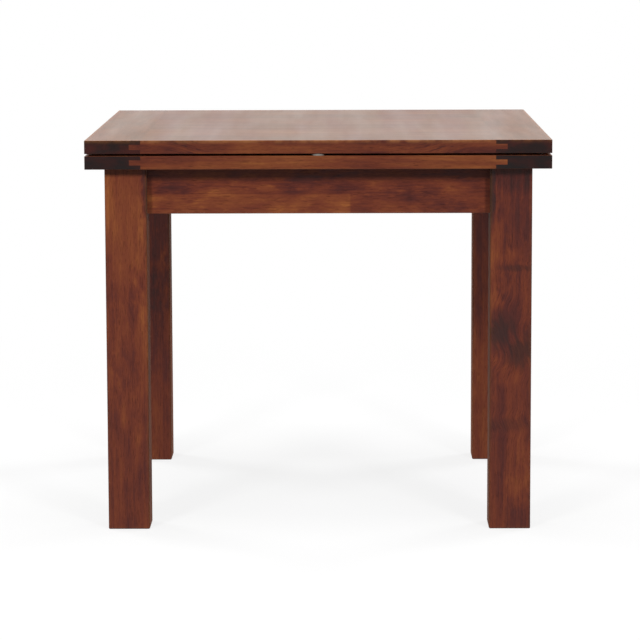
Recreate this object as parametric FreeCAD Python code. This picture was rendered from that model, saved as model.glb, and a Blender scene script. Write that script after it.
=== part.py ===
import FreeCAD, Part
import math
import os

# Flip-top dining table. Two square leaves lie one on the other over a four-legged base.
# The pair slides half its width to the left, and the upper leaf then folds out to the
# right on butt hinges, so that the open top is twice as long as the closed one.
# Frame: +Z up, +X to the right along the slide, -Y towards the front, origin on the floor
# under the middle of the closed top. Millimetres.

Vector = FreeCAD.Vector

# Overall sizes
TOP_WIDTH = 900.0            # along X, the way the top slides
TOP_DEPTH = 900.0            # along Y
HEIGHT = 768.0               # floor to the top of the closed leaves

# Leaves: long boards with a cross-grain end board tongued on at each end
LEAF_THICK = 26.0
LEAF_GAP = 4.0               # between the closed leaves
LEAF_ARRIS = 1.2             # rounding of a leaf's outer edges
BOARD_COUNT = 6              # boards glued side by side in one leaf
END_WIDTH = 108.0            # end board, measured along X
TONGUE_LENGTH = 22.0
TONGUE_THICK = 10.0

# Legs and aprons
LEG_SIDE = 81.0
LEG_INSET = 35.5             # top's edge to the leg's outer face
LEG_ARRIS = 2.5              # rounding of a leg's long edges
FOOT_EASE = 0.6              # chamfer under the foot over the leg's arris
APRON_HEIGHT = 90.0
APRON_THICK = 25.0
APRON_RECESS = 23.5          # leg's outer face to the apron's outer face
APRON_ARRIS = 1.5
TENON_LENGTH = 25.0
TENON_THICK = 10.0
TENON_SHOULDER = 12.0        # above and below the tenon

# Corner blocks with a hanger bolt into each leg
LEG_SEAT = 14.0              # flat cut on the leg's inner corner, along each face
BLOCK_GAP = 3.0              # seat to block, drawn up by the bolt
BLOCK_THICK = 28.0
BLOCK_HEIGHT = 60.0
BOLT_RADIUS = 4.0
BOLT_BITE = 32.0             # length of bolt inside the leg
BOLT_TAIL = 5.0              # length of bolt past the nut
BOLT_HOLE_CLEARANCE = 0.5
WASHER_RADIUS = 11.0
WASHER_THICK = 2.0
NUT_FLATS = 13.0
NUT_THICK = 6.5
THREAD_CLEARANCE = 0.03

# Glide strips that carry the sliding leaf
GLIDE_WIDTH = 9.0
GLIDE_THICK = 3.0
GLIDE_PROUD = 1.0            # stands above the apron's top
GLIDE_CLEARANCE = 0.2        # strip to leaf
GLIDE_END = 24.0             # strip's end to the leg or rail beside it

# Slide: slotted rails in the base, runners and keepers under the lower leaf
RAIL_WIDTH = 80.0
RAIL_THICK = 22.0
RAIL_TO_BLOCK = 16.0         # rail's edge to the corner block
RAIL_HOUSING = 12.0          # rail's end let into the apron
RAIL_END_WOOD = 25.0         # slot's end to the apron's inner face
RUNNER_WIDTH = 24.0
RUNNER_SIDE_CLEARANCE = 0.4
RUNNER_STOP_CLEARANCE = 0.5
KEEPER_WIDTH = 60.0
KEEPER_THICK = 12.0
KEEPER_CLEARANCE = 0.5       # keeper to the rail's underside

# Butt hinges along the right edge, let in flush with the leaves' inner faces
HINGE_COUNT = 3
HINGE_INSET = 130.0          # top's front or rear edge to the middle of the outer hinges
HINGE_WIDTH = 76.0           # along Y
SEAM_GAP = 0.5               # between the leaves' edges when open
KNUCKLE_COUNT = 5            # taken in turn by the lower and the upper plate
KNUCKLE_SINK = 0.7           # knuckle's reach below a leaf's face
KNUCKLE_WALL = 1.0
KNUCKLE_GAP = 0.3            # between neighbouring knuckles
KNUCKLE_CLEARANCE = 0.4      # knuckle to the other plate
PIN_FIT = 0.02               # pin to the lower plate's knuckles, which hold it
PIN_CLEARANCE = 0.05         # pin to the upper plate's knuckles, which turn on it
PLATE_LENGTH = 40.0          # along X
PLATE_THICK = 2.0
PLATE_CORNER = 4.0
PLATE_FIT = 0.1              # plate to the sides of its recess

# Bumpers that keep the closed leaves apart
BUMPER_RADIUS = 13.0
BUMPER_CLEARANCE = 0.2
BUMPER_INSET = 15.0          # top's edge to the bumper's centre
CORNER_SETBACK = 60.0        # top's front or rear edge to the bumpers at the free corners
BUMPER_ROUND = 0.8

# Countersunk screws
FRAME_SCREW_SHANK = 2.0
FRAME_SCREW_HEAD = 4.0
FRAME_SCREW_BITE = 16.0      # length of screw inside the apron
FRAME_SCREW_SINK = 1.5       # head below the corner block's slanting face
HINGE_SCREW_SHANK = 1.6
HINGE_SCREW_HEAD = 3.4
HINGE_SCREW_LENGTH = 15.0
RUNNER_SCREW_SHANK = 2.5
RUNNER_SCREW_HEAD = 5.0
RUNNER_SCREW_BITE = 16.0     # length of screw inside the leaf
RUNNER_SCREW_COUNT = 3
SCREW_SLOT_WIDTH = 1.0
SCREW_SLOT_DEPTH = 0.8
SCREW_POINT = 3.0            # length of the tapered point
BLOCK_SCREW_EDGE = 14.0      # block's top or bottom to its screws
RAIL_SCREW_SPREAD = 44.0     # between the two screws in a rail's end
HINGE_SCREW_COUNT = 4        # in each plate
HINGE_SCREW_END = 9.0        # plate's inner end to the first row of screws
HINGE_SCREW_STEP = 14.0      # first row to the second
SCREW_FIT = 0.05             # screw to its hole, all round

# Levels
UPPER_BOTTOM = HEIGHT - LEAF_THICK
LOWER_TOP = UPPER_BOTTOM - LEAF_GAP
LOWER_BOTTOM = LOWER_TOP - LEAF_THICK
BASE_TOP = LOWER_BOTTOM - GLIDE_CLEARANCE - GLIDE_PROUD
APRON_BOTTOM = BASE_TOP - APRON_HEIGHT
RAIL_BOTTOM = BASE_TOP - RAIL_THICK

# Plan
HALF_WIDTH = TOP_WIDTH / 2
HALF_DEPTH = TOP_DEPTH / 2
FOOT_CHAMFER = FOOT_EASE * LEG_ARRIS
BASE_X = HALF_WIDTH - LEG_INSET          # outer faces of the legs
BASE_Y = HALF_DEPTH - LEG_INSET
APRON_INNER = APRON_RECESS + APRON_THICK  # leg's outer face to the apron's inner face
INNER_X = BASE_X - APRON_INNER           # inner faces of the aprons
INNER_Y = BASE_Y - APRON_INNER
ROOT2 = math.sqrt(2)
SEAT_SUM = 2 * LEG_SIDE - LEG_SEAT       # u + v on the leg's seat, from its outer corner
BLOCK_NEAR_SUM = SEAT_SUM + BLOCK_GAP * ROOT2
BLOCK_FAR_SUM = BLOCK_NEAR_SUM + BLOCK_THICK * ROOT2
BLOCK_REACH = BLOCK_FAR_SUM - APRON_INNER
BLOCK_TOP = BASE_TOP - (APRON_HEIGHT - BLOCK_HEIGHT) / 2
BLOCK_BOTTOM = BLOCK_TOP - BLOCK_HEIGHT
BLOCK_MIDDLE = (BLOCK_TOP + BLOCK_BOTTOM) / 2

# Slide
SLIDE_TRAVEL = HALF_WIDTH                # brings the hinged edge over the base's middle
RUNNER_MIDDLE = SLIDE_TRAVEL / 2
SLOT_HALF = INNER_X - RAIL_END_WOOD
RUNNER_LENGTH = 2 * (SLOT_HALF - RUNNER_STOP_CLEARANCE - RUNNER_MIDDLE)
RAIL_Y = BASE_Y - BLOCK_REACH - RAIL_TO_BLOCK - RAIL_WIDTH / 2
RUNNER_BOTTOM = RAIL_BOTTOM - KEEPER_CLEARANCE
KEEPER_BOTTOM = RUNNER_BOTTOM - KEEPER_THICK

# Hinges
HINGE_X = HALF_WIDTH + SEAM_GAP / 2
HINGE_Z = (LOWER_TOP + UPPER_BOTTOM) / 2
KNUCKLE_RADIUS = LEAF_GAP / 2 + KNUCKLE_SINK
KNUCKLE_PITCH = HINGE_WIDTH / KNUCKLE_COUNT
PIN_RADIUS = KNUCKLE_RADIUS - KNUCKLE_WALL
PLATE_INNER = HALF_WIDTH - PLATE_LENGTH
HINGE_STEP = 2 * (HALF_DEPTH - HINGE_INSET) / (HINGE_COUNT - 1)
HINGE_YS = [-HALF_DEPTH + HINGE_INSET + i * HINGE_STEP for i in range(HINGE_COUNT)]

CORNERS = {
    "front_left": (-1, -1),
    "front_right": (1, -1),
    "rear_left": (-1, 1),
    "rear_right": (1, 1),
}
SIDES = {"front": -1, "rear": 1}
ENDS = {"left": -1, "right": 1}
PICK = 0.5                   # reach for picking edges by where they lie


def box(low, high):
    """A box from its lowest to its highest corner."""
    size = Vector(*high) - Vector(*low)
    return Part.makeBox(size.x, size.y, size.z, Vector(*low))


def span(a, b):
    """Two numbers in rising order."""
    return min(a, b), max(a, b)


def fuse_all(shapes):
    """One solid from several that touch or overlap."""
    whole = shapes[0]
    for shape in shapes[1:]:
        whole = whole.fuse(shape)
    return whole.removeSplitter()


def cut_all(shape, tools):
    """The shape with every tool taken out of it, where it reaches."""
    for tool in tools:
        if shape.BoundBox.intersect(tool.BoundBox):
            shape = shape.cut(tool)
    return shape


def edges_along(shape, axis):
    """Straight edges that run along one of x, y and z."""
    found = []
    for edge in shape.Edges:
        run = edge.Vertexes[-1].Point - edge.Vertexes[0].Point
        if math.isclose(abs(getattr(run, axis)), edge.Length):
            found.append(edge)
    return found


def lowest(edges, level):
    """Those edges that lie at a level."""
    return [edge for edge in edges if edge.BoundBox.ZMax < level + PICK]


def prism(points, bottom, top):
    """A plan outline raised from one level to another."""
    corners = [Vector(x, y, bottom) for x, y in points]
    outline = Part.makePolygon(corners + corners[:1])
    return Part.Face(outline).extrude(Vector(0, 0, top - bottom))


def corner_point(signs, u, v):
    """Plan point at u and v inside a leg's two outer faces."""
    return signs[0] * (BASE_X - u), signs[1] * (BASE_Y - v)


# Screws


def screw_blank(at, way, sizes):
    """A screw without its slot: a countersunk head at a point, driven the given way."""
    shank, head, length = sizes
    profile = [
        Vector(0, 0, 0),
        Vector(head, 0, 0),
        Vector(shank, 0, head - shank),
        Vector(shank, 0, length - SCREW_POINT),
        Vector(0, 0, length),
    ]
    face = Part.Face(Part.makePolygon(profile + profile[:1]))
    screw = face.revolve(Vector(0, 0, 0), Vector(0, 0, 1), 360)
    screw.Placement = FreeCAD.Placement(Vector(*at), FreeCAD.Rotation(Vector(0, 0, 1), Vector(*way)))
    return screw


def slotted(at, way, sizes):
    """The same screw with a driver slot across its head."""
    head = sizes[1]
    slot = Part.makeBox(2 * head, SCREW_SLOT_WIDTH, SCREW_SLOT_DEPTH)
    slot.translate(Vector(-head, -SCREW_SLOT_WIDTH / 2, 0))
    slot.Placement = FreeCAD.Placement(
        Vector(*at), FreeCAD.Rotation(Vector(0, 0, 1), Vector(*way))
    ).multiply(slot.Placement)
    return screw_blank(at, way, sizes).cut(slot)


def screw_hole(at, way, sizes):
    """The hole that a screw fills, a little wider than the screw."""
    shank, head, length = sizes
    return screw_blank(at, way, (shank + SCREW_FIT, head + SCREW_FIT, length))


def screw_set(places):
    """The holes for a set of screws, and the slotted screws that fill them."""
    holes = [screw_hole(*place) for place in places]
    screws = [slotted(*place) for place in places]
    return holes, Part.makeCompound(screws)


def block_screw_places():
    """Screws through each end of each corner block, square into the apron behind it."""
    middle = (BLOCK_NEAR_SUM + BLOCK_FAR_SUM) / 2 - APRON_INNER
    depth = BLOCK_FAR_SUM - middle - FRAME_SCREW_HEAD - FRAME_SCREW_SINK
    length = depth - APRON_INNER + FRAME_SCREW_BITE
    sizes = (FRAME_SCREW_SHANK, FRAME_SCREW_HEAD, length)
    places = []
    for signs in CORNERS.values():
        for z in (BLOCK_TOP - BLOCK_SCREW_EDGE, BLOCK_BOTTOM + BLOCK_SCREW_EDGE):
            x, y = corner_point(signs, middle, depth)
            places.append(((x, y, z), (0, signs[1], 0), sizes))
            x, y = corner_point(signs, depth, middle)
            places.append(((x, y, z), (signs[0], 0, 0), sizes))
    return places


def sunk_hole(at, way, sizes):
    """A screw's hole with the straight way in to its head through a slanting face."""
    radius = sizes[1] + SCREW_FIT
    depth = 2 * radius + FRAME_SCREW_SINK
    way_in = Part.makeCylinder(radius, depth, Vector(*at), -Vector(*way))
    return screw_hole(at, way, sizes).fuse(way_in)


def rail_screw_places():
    """Screws down through each rail's ends into the aprons."""
    x = INNER_X + RAIL_HOUSING / 2
    sizes = (FRAME_SCREW_SHANK, FRAME_SCREW_HEAD, RAIL_THICK + FRAME_SCREW_BITE)
    return [
        ((sx * x, sy * RAIL_Y + offset, BASE_TOP), (0, 0, -1), sizes)
        for sx in (-1, 1)
        for sy in SIDES.values()
        for offset in (-RAIL_SCREW_SPREAD / 2, RAIL_SCREW_SPREAD / 2)
    ]


def runner_screw_places():
    """Screws up through keeper and runner into the lower leaf."""
    length = LOWER_BOTTOM - KEEPER_BOTTOM + RUNNER_SCREW_BITE
    sizes = (RUNNER_SCREW_SHANK, RUNNER_SCREW_HEAD, length)
    pitch = RUNNER_LENGTH / RUNNER_SCREW_COUNT
    start = RUNNER_MIDDLE - RUNNER_LENGTH / 2 + pitch / 2
    return [
        ((start + i * pitch, sy * RAIL_Y, KEEPER_BOTTOM), (0, 0, 1), sizes)
        for sy in SIDES.values()
        for i in range(RUNNER_SCREW_COUNT)
    ]


def hinge_screw_places(face, way):
    """Two staggered rows of screws in each hinge plate on one leaf's face."""
    sizes = (HINGE_SCREW_SHANK, HINGE_SCREW_HEAD, HINGE_SCREW_LENGTH)
    pitch = HINGE_WIDTH / HINGE_SCREW_COUNT
    rows = (PLATE_INNER + HINGE_SCREW_END, PLATE_INNER + HINGE_SCREW_END + HINGE_SCREW_STEP)
    return [
        ((rows[i % 2], y - HINGE_WIDTH / 2 + (i + 0.5) * pitch, face), (0, 0, way), sizes)
        for y in HINGE_YS
        for i in range(HINGE_SCREW_COUNT)
    ]


# Base


def tenon(side_axis, signs):
    """The tenon that an apron along X or Y puts into one leg."""
    middle = APRON_RECESS + APRON_THICK / 2
    near, far = LEG_SIDE - TENON_LENGTH, LEG_SIDE
    thin = (middle - TENON_THICK / 2, middle + TENON_THICK / 2)
    u, v = ((near, far), thin) if side_axis == "x" else (thin, (near, far))
    x0, y0 = corner_point(signs, u[0], v[0])
    x1, y1 = corner_point(signs, u[1], v[1])
    (x0, x1), (y0, y1) = span(x0, x1), span(y0, y1)
    return box((x0, y0, APRON_BOTTOM + TENON_SHOULDER), (x1, y1, BASE_TOP - TENON_SHOULDER))


def leg_bolt(signs, radius, start, end):
    """A round bar on a corner's diagonal, between two distances from the leg's outer corner."""
    x, y = corner_point(signs, start / ROOT2, start / ROOT2)
    way = Vector(-signs[0], -signs[1], 0)
    return Part.makeCylinder(radius, end - start, Vector(x, y, BLOCK_MIDDLE), way)


BOLT_START = SEAT_SUM / ROOT2 - BOLT_BITE
BLOCK_FAR = BLOCK_FAR_SUM / ROOT2
BOLT_END = BLOCK_FAR + WASHER_THICK + NUT_THICK + BOLT_TAIL


def leg(signs):
    """A square leg with its mortises, its bolt seat and the bolt's hole."""
    x0, y0 = corner_point(signs, 0, 0)
    x1, y1 = corner_point(signs, LEG_SIDE, LEG_SIDE)
    (x0, x1), (y0, y1) = span(x0, x1), span(y0, y1)
    body = box((x0, y0, 0), (x1, y1, BASE_TOP))
    body = body.makeFillet(LEG_ARRIS, edges_along(body, "z"))
    body = body.makeChamfer(FOOT_CHAMFER, lowest(body.Edges, 0))
    seat_points = [
        corner_point(signs, LEG_SIDE, LEG_SIDE - LEG_SEAT),
        corner_point(signs, LEG_SIDE, LEG_SIDE),
        corner_point(signs, LEG_SIDE - LEG_SEAT, LEG_SIDE),
    ]
    seat = prism(seat_points, APRON_BOTTOM, BASE_TOP)
    bolt = leg_bolt(signs, BOLT_RADIUS + THREAD_CLEARANCE, BOLT_START, BOLT_END)
    return cut_all(body, [tenon("x", signs), tenon("y", signs), seat, bolt])


def apron_along_x(sign):
    """Front or rear apron with a tenon at each end."""
    reach = BASE_X - LEG_SIDE
    y0, y1 = span(sign * (BASE_Y - APRON_RECESS), sign * INNER_Y)
    body = box((-reach, y0, APRON_BOTTOM), (reach, y1, BASE_TOP))
    body = body.makeFillet(APRON_ARRIS, lowest(edges_along(body, "x"), APRON_BOTTOM))
    return fuse_all([body, tenon("x", (-1, sign)), tenon("x", (1, sign))])


def apron_along_y(sign):
    """Left or right apron with a tenon at each end."""
    reach = BASE_Y - LEG_SIDE
    x0, x1 = span(sign * (BASE_X - APRON_RECESS), sign * INNER_X)
    body = box((x0, -reach, APRON_BOTTOM), (x1, reach, BASE_TOP))
    body = body.makeFillet(APRON_ARRIS, lowest(edges_along(body, "y"), APRON_BOTTOM))
    return fuse_all([body, tenon("y", (sign, -1)), tenon("y", (sign, 1))])


def glide_strips():
    """Nylon strips let into the tops of the aprons: two long ones, and two between the rails."""
    middle = APRON_RECESS + APRON_THICK / 2
    low, high = BASE_TOP + GLIDE_PROUD - GLIDE_THICK, BASE_TOP + GLIDE_PROUD
    half = GLIDE_WIDTH / 2
    long_reach = BASE_X - LEG_SIDE - GLIDE_END
    short_reach = RAIL_Y - RAIL_WIDTH / 2 - GLIDE_END
    strips = []
    for sign in (-1, 1):
        y = sign * (BASE_Y - middle)
        strips.append(box((-long_reach, y - half, low), (long_reach, y + half, high)))
        x = sign * (BASE_X - middle)
        strips.append(box((x - half, -short_reach, low), (x + half, short_reach, high)))
    return strips


def corner_block(signs):
    """A block across a corner, from one apron's inner face to the other's."""
    near, far = BLOCK_NEAR_SUM - APRON_INNER, BLOCK_FAR_SUM - APRON_INNER
    outline = [
        corner_point(signs, near, APRON_INNER),
        corner_point(signs, far, APRON_INNER),
        corner_point(signs, APRON_INNER, far),
        corner_point(signs, APRON_INNER, near),
    ]
    hole = leg_bolt(signs, BOLT_RADIUS + BOLT_HOLE_CLEARANCE, BOLT_START, BOLT_END)
    return prism(outline, BLOCK_BOTTOM, BLOCK_TOP).cut(hole)


def washer(signs):
    """The washer between a block and its nut."""
    disc = leg_bolt(signs, WASHER_RADIUS, BLOCK_FAR, BLOCK_FAR + WASHER_THICK)
    return disc.cut(leg_bolt(signs, BOLT_RADIUS + BOLT_HOLE_CLEARANCE, BOLT_START, BOLT_END))


def nut(signs):
    """A hexagon nut on the bolt's inner end."""
    corner_radius = NUT_FLATS / math.sqrt(3)
    turns = [math.radians(60 * i) for i in range(6)]
    points = [Vector(corner_radius * math.cos(t), corner_radius * math.sin(t), 0) for t in turns]
    hexagon = Part.Face(Part.makePolygon(points + points[:1])).extrude(Vector(0, 0, NUT_THICK))
    near = (BLOCK_FAR + WASHER_THICK) / ROOT2
    x, y = corner_point(signs, near, near)
    way = Vector(-signs[0], -signs[1], 0)
    hexagon.Placement = FreeCAD.Placement(
        Vector(x, y, BLOCK_MIDDLE), FreeCAD.Rotation(Vector(0, 0, 1), way)
    )
    return hexagon.cut(leg_bolt(signs, BOLT_RADIUS + THREAD_CLEARANCE, BOLT_START, BOLT_END))


def rail_blank(sign):
    """A guide rail before its slot, with its ends inside the aprons."""
    reach = INNER_X + RAIL_HOUSING
    y = sign * RAIL_Y
    half = RAIL_WIDTH / 2
    return box((-reach, y - half, RAIL_BOTTOM), (reach, y + half, BASE_TOP))


def guide_rail(sign):
    """A guide rail with the slot that its runner slides in."""
    y = sign * RAIL_Y
    half = RUNNER_WIDTH / 2 + RUNNER_SIDE_CLEARANCE
    slot = box((-SLOT_HALF, y - half, RAIL_BOTTOM), (SLOT_HALF, y + half, BASE_TOP))
    return rail_blank(sign).cut(slot)


# Leaves


def leaf_blank(bottom):
    """A whole leaf with its outer edges eased, before it is divided into boards."""
    blank = box((-HALF_WIDTH, -HALF_DEPTH, bottom), (HALF_WIDTH, HALF_DEPTH, bottom + LEAF_THICK))
    return blank.makeFillet(LEAF_ARRIS, blank.Edges)


def tongue(sign, bottom, y0, y1):
    """The tongue at one end of the boards, between two depths."""
    shoulder = HALF_WIDTH - END_WIDTH
    x0, x1 = span(sign * shoulder, sign * (shoulder + TONGUE_LENGTH))
    low = bottom + (LEAF_THICK - TONGUE_THICK) / 2
    return box((x0, y0, low), (x1, y1, low + TONGUE_THICK))


def leaf_boards(bottom):
    """The boards of one leaf, side by side from front to rear, tongued at both ends."""
    blank = leaf_blank(bottom)
    shoulder = HALF_WIDTH - END_WIDTH
    width = TOP_DEPTH / BOARD_COUNT
    boards = []
    for i in range(BOARD_COUNT):
        y0 = -HALF_DEPTH + i * width
        y1 = y0 + width
        core = box((-shoulder, y0, bottom), (shoulder, y1, bottom + LEAF_THICK))
        shape = fuse_all([core, tongue(-1, bottom, y0, y1), tongue(1, bottom, y0, y1)])
        boards.append(blank.common(shape))
    return boards


def end_board(sign, bottom):
    """The cross-grain board at one end of a leaf, grooved for the tongues."""
    shoulder = HALF_WIDTH - END_WIDTH
    x0, x1 = span(sign * shoulder, sign * HALF_WIDTH)
    region = box((x0, -HALF_DEPTH, bottom), (x1, HALF_DEPTH, bottom + LEAF_THICK))
    return leaf_blank(bottom).common(region).cut(tongue(sign, bottom, -HALF_DEPTH, HALF_DEPTH))


def runner(sign):
    """The block under the lower leaf that slides in a rail's slot."""
    y = sign * RAIL_Y
    reach, half = RUNNER_LENGTH / 2, RUNNER_WIDTH / 2
    low = (RUNNER_MIDDLE - reach, y - half, RUNNER_BOTTOM)
    return box(low, (RUNNER_MIDDLE + reach, y + half, LOWER_BOTTOM))


def keeper(sign):
    """The wider strip under a runner that keeps the leaf from lifting."""
    y = sign * RAIL_Y
    reach, half = RUNNER_LENGTH / 2, KEEPER_WIDTH / 2
    low = (RUNNER_MIDDLE - reach, y - half, KEEPER_BOTTOM)
    return box(low, (RUNNER_MIDDLE + reach, y + half, RUNNER_BOTTOM))


def bumpers():
    """Round bumpers at the middle of the front and rear edges and at the free corners."""
    height = LEAF_GAP - BUMPER_CLEARANCE
    side = HALF_DEPTH - BUMPER_INSET
    corner = HALF_DEPTH - CORNER_SETBACK
    free = -HALF_WIDTH + BUMPER_INSET
    dots = []
    for x, y in ((0, -side), (0, side), (free, -corner), (free, corner)):
        dot = Part.makeCylinder(BUMPER_RADIUS, height, Vector(x, y, LOWER_TOP))
        rim = [edge for edge in dot.Edges if edge.BoundBox.ZMin > LOWER_TOP + height - PICK]
        dots.append(dot.makeFillet(BUMPER_ROUND, rim))
    return Part.makeCompound(dots)


# Hinges, made for the lower leaf and turned over for the upper one


def plate_outline(y, room):
    """A hinge plate's outline out to the hinge's axis, with room round its sides."""
    half = HINGE_WIDTH / 2 + room
    low = (PLATE_INNER - room, y - half, LOWER_TOP - PLATE_THICK)
    plate = box(low, (HINGE_X, y + half, LOWER_TOP))
    inner = [edge for edge in edges_along(plate, "z") if edge.BoundBox.XMax < PLATE_INNER + PICK]
    return plate.makeFillet(PLATE_CORNER + room, inner)


def knuckle_spans(y, turn):
    """Where every second knuckle starts and ends along Y, from the first or the second one on."""
    start = y - HINGE_WIDTH / 2
    room = KNUCKLE_GAP / 2
    return [
        (start + i * KNUCKLE_PITCH + room, start + (i + 1) * KNUCKLE_PITCH - room)
        for i in range(turn, KNUCKLE_COUNT, 2)
    ]


def hinge_bar(start, end, radius):
    """A round bar on the hinge's axis."""
    return Part.makeCylinder(radius, end - start, Vector(HINGE_X, start, HINGE_Z), Vector(0, 1, 0))


def hinge_pin(y, radius):
    """A pin through all the knuckles of one hinge."""
    return hinge_bar(y - HINGE_WIDTH / 2, y + HINGE_WIDTH / 2, radius)


def hinge_plate(y, turn, pin_room):
    """A plate with its knuckles, cut back where the other plate's knuckles turn."""
    reach = KNUCKLE_RADIUS + KNUCKLE_CLEARANCE
    notches = [
        box(
            (HINGE_X - reach, start - KNUCKLE_GAP, LOWER_TOP - PLATE_THICK),
            (HINGE_X, end + KNUCKLE_GAP, LOWER_TOP),
        )
        for start, end in knuckle_spans(y, 1 - turn)
    ]
    plate = cut_all(plate_outline(y, 0), notches)
    knuckles = [hinge_bar(start, end, KNUCKLE_RADIUS) for start, end in knuckle_spans(y, turn)]
    return fuse_all([plate] + knuckles).cut(hinge_pin(y, PIN_RADIUS + pin_room))


def turned_over(shape, y):
    """A lower leaf's hinge piece as it lies in the upper leaf."""
    turned = shape.copy()
    turned.rotate(Vector(0, y, HINGE_Z), Vector(1, 0, 0), 180)
    return turned


def build():
    """Every piece of the table by name."""
    parts = {}
    block_holes, block_screws = screw_set(block_screw_places())
    rail_holes, rail_screws = screw_set(rail_screw_places())
    runner_holes, runner_screws = screw_set(runner_screw_places())
    lower_holes, lower_screws = screw_set(hinge_screw_places(LOWER_TOP, -1))
    upper_holes, upper_screws = screw_set(hinge_screw_places(UPPER_BOTTOM, 1))
    sunk_holes = [sunk_hole(*place) for place in block_screw_places()]
    strips = glide_strips()

    for name, signs in CORNERS.items():
        parts["leg_" + name] = leg(signs)
        parts["corner_block_" + name] = cut_all(corner_block(signs), sunk_holes)
    for name, sign in SIDES.items():
        parts["apron_" + name] = cut_all(apron_along_x(sign), strips + block_holes)
    housings = [rail_blank(sign) for sign in SIDES.values()]
    for name, sign in ENDS.items():
        fittings = housings + strips + block_holes + rail_holes
        parts["apron_" + name] = cut_all(apron_along_y(sign), fittings)
    for name, sign in SIDES.items():
        parts["guide_rail_" + name] = cut_all(guide_rail(sign), rail_holes)
    bolts = [leg_bolt(signs, BOLT_RADIUS, BOLT_START, BOLT_END) for signs in CORNERS.values()]
    parts["leg_bolts"] = Part.makeCompound(bolts)
    parts["leg_bolt_washers"] = Part.makeCompound([washer(signs) for signs in CORNERS.values()])
    parts["leg_bolt_nuts"] = Part.makeCompound([nut(signs) for signs in CORNERS.values()])
    parts["corner_block_screws"] = block_screws
    parts["guide_rail_screws"] = rail_screws
    parts["glide_strips"] = Part.makeCompound(strips)

    recesses = [plate_outline(y, PLATE_FIT) for y in HINGE_YS]
    upper_recesses = [turned_over(recess, y) for recess, y in zip(recesses, HINGE_YS)]
    leaves = {
        "lower": (LOWER_BOTTOM, recesses + lower_holes + runner_holes),
        "upper": (UPPER_BOTTOM, upper_recesses + upper_holes),
    }
    for leaf, (bottom, fittings) in leaves.items():
        for i, board in enumerate(leaf_boards(bottom)):
            parts[f"{leaf}_leaf_board_{i + 1}"] = cut_all(board, fittings)
        for name, sign in ENDS.items():
            parts[f"{leaf}_leaf_end_{name}"] = cut_all(end_board(sign, bottom), fittings)

    for name, sign in SIDES.items():
        parts["runner_" + name] = cut_all(runner(sign), runner_holes)
        parts["keeper_" + name] = cut_all(keeper(sign), runner_holes)
    parts["runner_screws"] = runner_screws
    parts["leaf_bumpers"] = bumpers()

    lower_plates = [cut_all(hinge_plate(y, 0, PIN_FIT), lower_holes) for y in HINGE_YS]
    upper_plates = [turned_over(hinge_plate(y, 1, PIN_CLEARANCE), y) for y in HINGE_YS]
    upper_plates = [cut_all(plate, upper_holes) for plate in upper_plates]
    parts["lower_hinge_plates"] = Part.makeCompound(lower_plates)
    parts["upper_hinge_plates"] = Part.makeCompound(upper_plates)
    parts["hinge_pins"] = Part.makeCompound([hinge_pin(y, PIN_RADIUS) for y in HINGE_YS])
    parts["lower_hinge_screws"] = lower_screws
    parts["upper_hinge_screws"] = upper_screws
    return parts


def main():
    """Writes one STEP file for each piece and prints what it measures."""
    os.makedirs("parts", exist_ok=True)
    parts = build()
    for name, shape in parts.items():
        shape.exportStep(f"parts/{name}.step")
        print(f"{name}: {len(shape.Solids)} solids, {shape.Volume / 1000:.1f} cm3, valid {shape.isValid()}")
    print(f"{len(parts)} pieces, slide travel {SLIDE_TRAVEL:.1f}, runner length {RUNNER_LENGTH:.1f}")
    print(f"hinge axis at x {HINGE_X:.2f}, z {HINGE_Z:.2f}")


main()
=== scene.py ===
# %% [markdown]
# A flip-top extending table.
# Two square leaves lie one on the other on a four-legged base. They are hinged along the right edge, so the
# pair slides half its width to the left and the upper leaf then opens out like the cover of a book.
# The construction is loaded as a fixed frame, at its real size and in metres. This lesson gives every piece
# of it the finish of the real table: stained hardwood, raw frame wood, brass, zinc, nylon and rubber.

# %% Load the fixed frame
import math

import bmesh
import bpy
import numpy as np
from mathutils import Matrix, Vector


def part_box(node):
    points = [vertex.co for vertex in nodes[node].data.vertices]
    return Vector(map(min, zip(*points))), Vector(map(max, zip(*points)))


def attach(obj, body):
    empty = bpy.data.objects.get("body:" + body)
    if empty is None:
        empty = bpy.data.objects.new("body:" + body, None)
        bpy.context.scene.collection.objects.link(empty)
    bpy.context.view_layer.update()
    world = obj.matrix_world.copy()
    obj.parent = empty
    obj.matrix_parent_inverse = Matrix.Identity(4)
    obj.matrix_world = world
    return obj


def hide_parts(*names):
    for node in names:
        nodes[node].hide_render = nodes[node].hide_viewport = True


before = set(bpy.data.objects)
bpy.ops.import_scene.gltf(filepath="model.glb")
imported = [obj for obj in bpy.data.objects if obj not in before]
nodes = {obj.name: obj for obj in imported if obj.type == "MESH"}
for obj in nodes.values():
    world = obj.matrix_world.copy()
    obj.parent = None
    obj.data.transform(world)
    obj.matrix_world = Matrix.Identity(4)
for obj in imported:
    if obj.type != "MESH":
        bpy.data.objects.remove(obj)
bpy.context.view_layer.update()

scene = bpy.context.scene

# %% [markdown]
# The camera stands in front of the table, a little above the top, with a long lens that keeps the legs
# almost parallel. Its place, turn and focal length could be set by eye. They were fitted to the table's
# corners instead, so the table fills the frame as it does in the reference picture.

# %% Camera
CAMERA_PLACE = Vector((0.045, -6.093, 1.1905))
CAMERA_YAW = -0.0075
CAMERA_PITCH = 0.1358
CAMERA_ROLL = -0.003
SENSOR_WIDTH_MM = 36.0
FRAME_PIXELS = 640
FOCAL_PIXELS = 2941.3


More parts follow.
